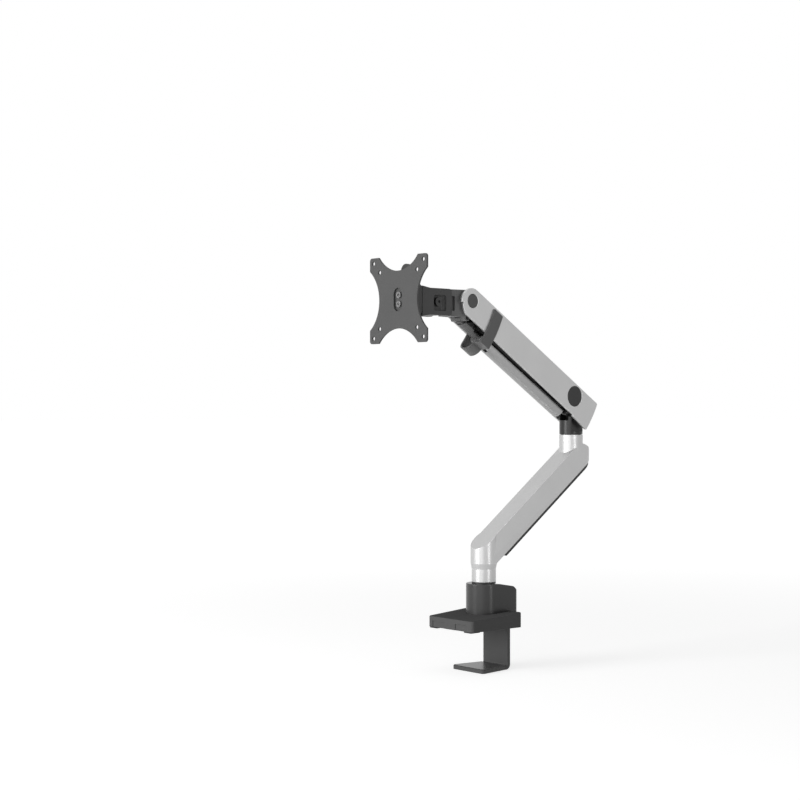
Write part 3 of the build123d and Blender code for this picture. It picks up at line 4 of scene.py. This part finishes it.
import bpy
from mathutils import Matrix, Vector


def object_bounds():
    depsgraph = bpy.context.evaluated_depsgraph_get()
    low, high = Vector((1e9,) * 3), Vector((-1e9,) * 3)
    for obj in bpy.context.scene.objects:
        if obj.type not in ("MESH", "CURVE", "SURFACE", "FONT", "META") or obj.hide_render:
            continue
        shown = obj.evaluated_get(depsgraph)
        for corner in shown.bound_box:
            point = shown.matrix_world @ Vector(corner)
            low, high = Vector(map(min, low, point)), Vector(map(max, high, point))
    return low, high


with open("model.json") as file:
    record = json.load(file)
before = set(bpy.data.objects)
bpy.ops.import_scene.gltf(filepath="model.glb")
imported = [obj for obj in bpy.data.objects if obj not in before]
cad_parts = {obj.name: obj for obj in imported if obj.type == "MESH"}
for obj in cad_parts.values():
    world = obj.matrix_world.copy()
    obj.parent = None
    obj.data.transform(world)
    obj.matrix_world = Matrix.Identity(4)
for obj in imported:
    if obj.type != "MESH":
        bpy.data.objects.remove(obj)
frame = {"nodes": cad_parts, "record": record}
cad_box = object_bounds()
scene = bpy.context.scene
MM = 0.001

# Camera: level with the middle of the arm, seen from the front right. Angles are in degrees.
CAMERA_PLACE = (1.6146, -1.5408, 0.306)
CAMERA_HEADING = 49.3
CAMERA_PITCH = 0.14
CAMERA_LENS = 72.9
CAMERA_SENSOR = 36.0
# A camera that isn't turned looks straight down. This brings it level.
CAMERA_LEVEL = 90.0

# Floor. Its glow is what the camera and reflections see, and it grows with distance.
FLOOR_DROP = 0.5 * MM
FLOOR_SIZE = 60.0
FLOOR_TONE = 0.6
FLOOR_ROUGHNESS = 0.9
FLOOR_NEAR, FLOOR_FAR = 0.3, 2.2
FLOOR_GLOW_NEAR, FLOOR_GLOW_FAR = 0.76, 0.93

# Even light from below and from all round on the faces of the arm
FLOOR_BOUNCE = 0.23
SKY_LIGHT = 0.14

# Rays that see the white room as it is
DIRECT_RAYS = ("Is Camera Ray", "Is Glossy Ray", "Is Transmission Ray")

# Lamps, with their power in watts. The shine card shows in reflections only.
MIDDLE = (0.0, 0.0, 0.25)
LAMPS = {
    "key_from_the_front": {"place": (-0.45, -1.95, 0.62), "aim": MIDDLE, "size": (0.85, 1.3), "watts": 24},
    "fill_from_the_front_right": {"place": (0.85, -1.8, 0.3), "aim": MIDDLE, "size": (1.2, 1.2), "watts": 8},
    "shine_card_on_the_right": {"place": (0.7, 0.04, 0.47), "aim": (0, 0.04, 0.47), "size": (0.12, 1.04),
                                "watts": 1.6, "shine_only": True},
    "fill_from_above": {"place": (0.1, -0.1, 2.3), "aim": MIDDLE, "size": (1.6, 1.6), "watts": 3.5},
}

# Normals are softened over this distance along the edges of the pieces
EDGE_ROUND = 0.45 * MM
EDGE_SAMPLES = 6
# An edge gets its full painted highlight where 1 minus the cosine of the softening reaches this
EDGE_HIGHLIGHT_FULL = 0.08

# Gloss and orange peel of the powder coats on castings and on sheet
CAST_COAT = {"rough": 0.36, "peel_size": 1.1 * MM}
SHEET_COAT = {"rough": 0.42, "peel_size": 0.9 * MM}


class Value:
    """An output socket in a node tree. Arithmetic on it adds Math nodes, and | takes the larger value."""

    def __init__(self, nodes, socket):
        self.nodes = nodes
        self.socket = socket

    def math(self, operation, first, second):
        return self.nodes.node("ShaderNodeMath", {"operation": operation}, {0: first, 1: second})

    def __add__(self, other):
        return self.math("ADD", self, other)

    __radd__ = __add__

    def __rsub__(self, other):
        return self.math("SUBTRACT", other, self)

    def __mul__(self, other):
        return self.math("MULTIPLY", self, other)

    __rmul__ = __mul__

    def __or__(self, other):
        return self.math("MAXIMUM", self, other)


class Nodes:
    """A node tree, and the one way of adding nodes to it."""

    def __init__(self, tree):
        self.tree = tree

    def node(self, kind, settings=None, inputs=None, output=0):
        """A new node: its settings first, then the values or links of its sockets. Returns one output."""
        made = self.tree.nodes.new(kind)
        for name, value in (settings or {}).items():
            if name == "stops":
                self.set_stops(made.color_ramp, value)
            else:
                setattr(made, name, value)
        for key, value in (inputs or {}).items():
            self.feed(made.inputs[key], value)
        return Value(self, made.outputs[output])

    def set_stops(self, ramp, stops):
        while len(ramp.elements) < len(stops):
            ramp.elements.new(1.0)
        for element, (position, level) in zip(ramp.elements, stops):
            element.position = position
            element.color = grey(level)

    def feed(self, socket, value):
        if isinstance(value, Value):
            self.tree.links.new(value.socket, socket)
        else:
            socket.default_value = value

    def seen_directly(self):
        """1 for rays from the camera, from gloss and through glass, and 0 for light on faces."""
        camera, gloss, glass = [self.node("ShaderNodeLightPath", output=kind) for kind in DIRECT_RAYS]
        return camera | gloss | glass


class Look(Nodes):
    """A material with one Principled shader, and the nodes that feed it."""

    def __init__(self, name):
        self.material = bpy.data.materials.new(name)
        self.material.use_nodes = True
        super().__init__(self.material.node_tree)
        self.shader = self.tree.nodes["Principled BSDF"]
        self.place = self.node("ShaderNodeTexCoord", output="Object")

    def set(self, **values):
        """Values or links of the shader's sockets, named with _ for a space."""
        for name, value in values.items():
            self.feed(self.shader.inputs[name.replace("_", " ")], value)

    def noise(self, grain, detail=2.0, stretch=None):
        """Noise whose features are about grain metres across, from 0 to 1."""
        place = self.place
        if stretch:
            place = self.node("ShaderNodeMapping", None, {"Vector": place, "Scale": stretch})
        return self.node("ShaderNodeTexNoise", None, {"Vector": place, "Scale": 1 / grain, "Detail": detail})

    def cells(self, grain):
        """Distance to the middle of cells about grain metres across."""
        return self.node("ShaderNodeTexVoronoi", None, {"Vector": self.place, "Scale": 1 / grain}, "Distance")

    def ramp(self, value, *stops):
        """Level that goes through the stops, each a position and a level."""
        return self.node("ShaderNodeValToRGB", {"stops": stops}, {0: value})

    def mix(self, factor, first, second):
        """Colour between two colours."""
        return self.node("ShaderNodeMix", {"data_type": "RGBA"}, {0: factor, 6: first, 7: second}, output=2)

    def rounded(self):
        """Normals with softened edges."""
        return self.node("ShaderNodeBevel", {"samples": EDGE_SAMPLES}, {"Radius": EDGE_ROUND})

    def edges(self, soft_normal):
        """1 along the edges of the piece and 0 on its faces: where the finishes paint a highlight."""
        flat_normal = self.node("ShaderNodeNewGeometry", output="Normal")
        cosine = self.node("ShaderNodeVectorMath", {"operation": "DOT_PRODUCT"},
                           {0: soft_normal, 1: flat_normal}, "Value")
        return self.ramp(1 - cosine, (0.0, 0.0), (EDGE_HIGHLIGHT_FULL, 1.0))

    def bump(self, height, depth, normal):
        """Normals of a surface whose height goes from 0 to 1 over depth metres."""
        return self.node("ShaderNodeBump", None,
                         {"Height": height, "Distance": depth, "Strength": 1.0, "Normal": normal})


def grey(level):
    return (level, level, level, 1)


def satin_silver(name, dark, pale):
    """Fine metallic paint of the arms: flakes under a satin coat, with a painted highlight along the edges.
    """
    flake_size, flake_depth, flake_share = 0.22 * MM, 0.0012 * MM, 0.25
    cloud_size, cloud_share = 45 * MM, 0.5
    # Painted highlight along the edges: its grey and how much of it shows
    highlight_grey, highlight_share = 0.93, 0.85
    rough, rough_spread = 0.3, 0.1
    look = Look(name)
    soft = look.rounded()
    painted_edge_highlight = look.edges(soft)
    flake = look.cells(flake_size)
    cloud = look.noise(cloud_size)
    paint = look.mix(flake_share * flake + cloud_share * cloud, grey(dark), grey(pale))
    look.set(Base_Color=look.mix(highlight_share * painted_edge_highlight, paint, grey(highlight_grey)))
    look.set(Metallic=0.58, Roughness=rough + rough_spread * cloud, Specular_IOR_Level=0.3)
    look.set(Normal=look.bump(flake, flake_depth, soft))
    return look.material


def powder_coat(name, dark, pale, rough, peel_size):
    """Baked powder paint: orange peel with fine specks, and a painted highlight along the edges."""
    peel_depth, peel_detail, rough_spread = 0.03 * MM, 3.0, 0.12
    speck_cell, speck_reach, speck_share = 0.5 * MM, 0.2, 0.2
    cloud_size, cloud_share = 30 * MM, 0.5
    # Painted highlight along the edges: how pale it gets and how much of it shows
    edge_gain, edge_share = 2.2, 0.12
    look = Look(name)
    soft = look.rounded()
    painted_edge_highlight = look.edges(soft)
    peel = look.noise(peel_size, peel_detail)
    speck = look.ramp(look.cells(speck_cell), (0.0, 1.0), (speck_reach, 0.0))
    cloud = look.noise(cloud_size)
    paint = look.mix(cloud_share * cloud + speck_share * speck, grey(dark), grey(pale))
    look.set(Base_Color=look.mix(edge_share * painted_edge_highlight, paint, grey(edge_gain * pale)))
    look.set(Roughness=rough + rough_spread * peel, Specular_IOR_Level=0.25)
    look.set(Normal=look.bump(peel, peel_depth, soft))
    return look.material


def moulded_plastic(name, dark, pale, rough, shine):
    """Spark-textured moulded plastic, with a painted highlight along the edges."""
    spark_size, spark_depth, spark_detail, spark_share = 0.35 * MM, 0.006 * MM, 3.0, 0.3
    cloud_size, cloud_share = 25 * MM, 0.4
    # Painted highlight along the edges: how pale it gets and how much of it shows
    edge_gain, edge_share = 2.4, 0.3
    rough_spread = 0.1
    look = Look(name)
    soft = look.rounded()
    painted_edge_highlight = look.edges(soft)
    spark = look.noise(spark_size, spark_detail)
    cloud = look.noise(cloud_size)
    skin = look.mix(cloud_share * cloud + spark_share * spark, grey(dark), grey(pale))
    look.set(Base_Color=look.mix(edge_share * painted_edge_highlight, skin, grey(edge_gain * pale)))
    look.set(Roughness=rough + rough_spread * spark, Specular_IOR_Level=shine)
    look.set(Normal=look.bump(spark, spark_depth, soft))
    return look.material


def plated_steel():
    """Zinc-plated turned steel with faint tool lines."""
    line_size, line_depth, line_detail, line_stretch = 0.3 * MM, 0.006 * MM, 2.0, (1.0, 1.0, 6.0)
    cloud_size = 6 * MM
    dark, pale = (0.42, 0.42, 0.43, 1), (0.6, 0.6, 0.6, 1)
    rough, rough_spread = 0.24, 0.2
    look = Look("plated_steel")
    soft = look.rounded()
    lines = look.noise(line_size, line_detail, line_stretch)
    cloud = look.noise(cloud_size)
    look.set(Base_Color=look.mix(cloud, dark, pale))
    look.set(Metallic=1.0, Roughness=rough + rough_spread * lines)
    look.set(Normal=look.bump(lines, line_depth, soft))
    return look.material


def black_oxide(name, dark, pale):
    """Blackened steel, oiled, with a painted highlight along the edges."""
    cloud_size, cloud_depth, cloud_detail = 4 * MM, 0.01 * MM, 4.0
    # Painted highlight along the edges: how pale it gets and how much of it shows
    edge_gain, edge_share = 4, 0.5
    rough, rough_spread = 0.34, 0.2
    look = Look(name)
    soft = look.rounded()
    painted_edge_highlight = look.edges(soft)
    cloud = look.noise(cloud_size, cloud_detail)
    skin = look.mix(cloud, grey(dark), grey(pale))
    look.set(Base_Color=look.mix(edge_share * painted_edge_highlight, skin, grey(edge_gain * pale)))
    look.set(Metallic=0.7, Roughness=rough + rough_spread * cloud)
    look.set(Normal=look.bump(cloud, cloud_depth, soft))
    return look.material


def soft_solid(name, dark, pale, rough, rough_spread, depth, pattern):
    """Dark nylon, foam or rubber. Its colour, gloss and bumps all follow one pattern."""
    look = Look(name)
    soft = look.rounded()
    grain = pattern(look)
    look.set(Base_Color=look.mix(grain, grey(dark), grey(pale)))
    look.set(Roughness=rough + rough_spread * grain)
    look.set(Normal=look.bump(grain, depth, soft))
    return look.material


def plain_nylon():
    """Black nylon bearing plastic."""
    size, detail = 0.8 * MM, 3.0
    return soft_solid("plain_nylon", dark=0.018, pale=0.035, rough=0.42, rough_spread=0.12,
                      depth=0.01 * MM, pattern=lambda look: look.noise(size, detail))


def foam_rubber():
    """Matt closed-cell foam."""
    size = 0.6 * MM
    return soft_solid("foam_rubber", dark=0.012, pale=0.03, rough=0.8, rough_spread=0.15,
                      depth=0.06 * MM, pattern=lambda look: look.cells(size))


def smooth_rubber():
    """Moulded rubber sheet with a dull shine and a fine skin."""
    size, detail = 1.5 * MM, 4.0
    return soft_solid("smooth_rubber", dark=0.04, pale=0.07, rough=0.26, rough_spread=0.1,
                      depth=0.008 * MM, pattern=lambda look: look.noise(size, detail))


def dress_nodes():
    """Every CAD node gets the finish of its material slot, or its own where it differs from the rest or
    carries painted light or shade.
    """
    finishes = {
        "silver": satin_silver("satin_silver", dark=0.54, pale=0.66),
        "dark_casting": powder_coat("powder_coated_casting", dark=0.08, pale=0.12, **CAST_COAT),
        "dark_steel": powder_coat("powder_coated_steel", dark=0.08, pale=0.11, **SHEET_COAT),
        "dark_plastic": moulded_plastic("moulded_plastic", dark=0.06, pale=0.095, rough=0.26, shine=0.2),
        "bright_steel": plated_steel(),
        "black_steel": black_oxide("black_oxide", dark=0.02, pale=0.05),
        "nylon": plain_nylon(),
        "rubber": foam_rubber(),
    }
    own = {
        # Near-black glossy copy of the dark casting: painted shade for the shadow of the arm on the elbow
        # bracket
        "elbow_bracket": moulded_plastic("black_elbow_painted_shade", dark=0.012, pale=0.022,
                                         rough=0.26, shine=0.36),
        # Paler copy of the casting coat: painted light on the knuckle, which sits in shade by the shell
        "knuckle": powder_coat("knuckle_coat_painted_light", dark=0.2, pale=0.25, **CAST_COAT),
        # Paler copy of the casting coat: painted light on the underside of the link's end
        "link_head_lug": powder_coat("link_end_coat_painted_light", dark=0.21, pale=0.27, **CAST_COAT),
        # Darker copy of the arm silver: painted shade on the link, which faces down and away from the light
        "lower_link": satin_silver("silver_painted_shade", dark=0.36, pale=0.46),
        # Paler copy of the moulded plastic: painted light on the underside of the dark clip
        "cable_clip": moulded_plastic("clip_plastic_painted_light", dark=0.18, pale=0.22, rough=0.4, shine=0.2),
        "foot_cover": moulded_plastic("foot_plastic", dark=0.115, pale=0.15, rough=0.5, shine=0.0),
        "post_housing": moulded_plastic("housing_plastic", dark=0.045, pale=0.07, rough=0.2, shine=0.35),
        "head_pivot_caps": moulded_plastic("cap_plastic", dark=0.14, pale=0.18, rough=0.3, shine=0.2),
        "plate_screws": black_oxide("grey_phosphate", dark=0.14, pale=0.2),
        "lip_pad": smooth_rubber(),
    }
    for part in frame["record"]["subparts"]:
        node = part["node"]
        mesh = frame["nodes"][node].data
        mesh.materials.clear()
        mesh.materials.append(own.get(node, finishes[part["material_slot"]]))


def build_floor():
    """Wide pale floor just under the arm."""
    lowest = cad_box[0].z - FLOOR_DROP
    mesh = bpy.data.meshes.new("floor")
    half = FLOOR_SIZE / 2
    corners = [(-half, -half, lowest), (half, -half, lowest), (half, half, lowest), (-half, half, lowest)]
    mesh.from_pydata(corners, [], [(0, 1, 2, 3)])
    floor = bpy.data.objects.new("floor", mesh)
    scene.collection.objects.link(floor)
    look = Look("pale_floor")
    away = look.node("ShaderNodeVectorMath", {"operation": "LENGTH"}, {0: look.place}, "Value")
    glow = look.node("ShaderNodeMapRange", {"interpolation_type": "SMOOTHSTEP"},
                     {"Value": away, "From Min": FLOOR_NEAR, "From Max": FLOOR_FAR,
                      "To Min": FLOOR_GLOW_NEAR, "To Max": FLOOR_GLOW_FAR})
    level = look.node("ShaderNodeMapRange", None,
                      {"Value": look.seen_directly(), "To Min": FLOOR_BOUNCE, "To Max": glow})
    look.set(Base_Color=grey(FLOOR_TONE), Roughness=FLOOR_ROUGHNESS, Specular_IOR_Level=0.0)
    look.set(Emission_Strength=1.0, Emission_Color=level)
    mesh.materials.append(look.material)


def build_world():
    """A room that looks white and throws a low even light."""
    world = bpy.data.worlds.new("white_room")
    scene.world = world
    world.use_nodes = True
    room = Nodes(world.node_tree)
    level = room.node("ShaderNodeMapRange", None,
                      {"Value": room.seen_directly(), "To Min": SKY_LIGHT, "To Max": 1.0})
    background = room.tree.nodes["Background"]
    room.feed(background.inputs["Color"], grey(1.0))
    room.feed(background.inputs["Strength"], level)


def add_lamp(name, place, aim, size, watts, shine_only=False):
    lamp = bpy.data.lights.new(name, "AREA")
    lamp.shape = "RECTANGLE"
    lamp.size, lamp.size_y = size
    lamp.energy = watts
    holder = bpy.data.objects.new(name, lamp)
    holder.location = place
    holder.rotation_euler = (Vector(aim) - Vector(place)).to_track_quat("-Z", "Y").to_euler()
    holder.visible_diffuse = not shine_only
    scene.collection.objects.link(holder)


def build_camera():
    data = bpy.data.cameras.new("camera")
    data.lens = CAMERA_LENS
    data.sensor_width = CAMERA_SENSOR
    camera = bpy.data.objects.new("camera", data)
    camera.location = CAMERA_PLACE
    camera.rotation_euler = (math.radians(CAMERA_LEVEL + CAMERA_PITCH), 0, math.radians(CAMERA_HEADING))
    scene.collection.objects.link(camera)
    scene.camera = camera


dress_nodes()
build_floor()
build_world()
for lamp_name, lamp_facts in LAMPS.items():
    add_lamp(lamp_name, **lamp_facts)
build_camera()
scene.view_settings.view_transform = "Standard"
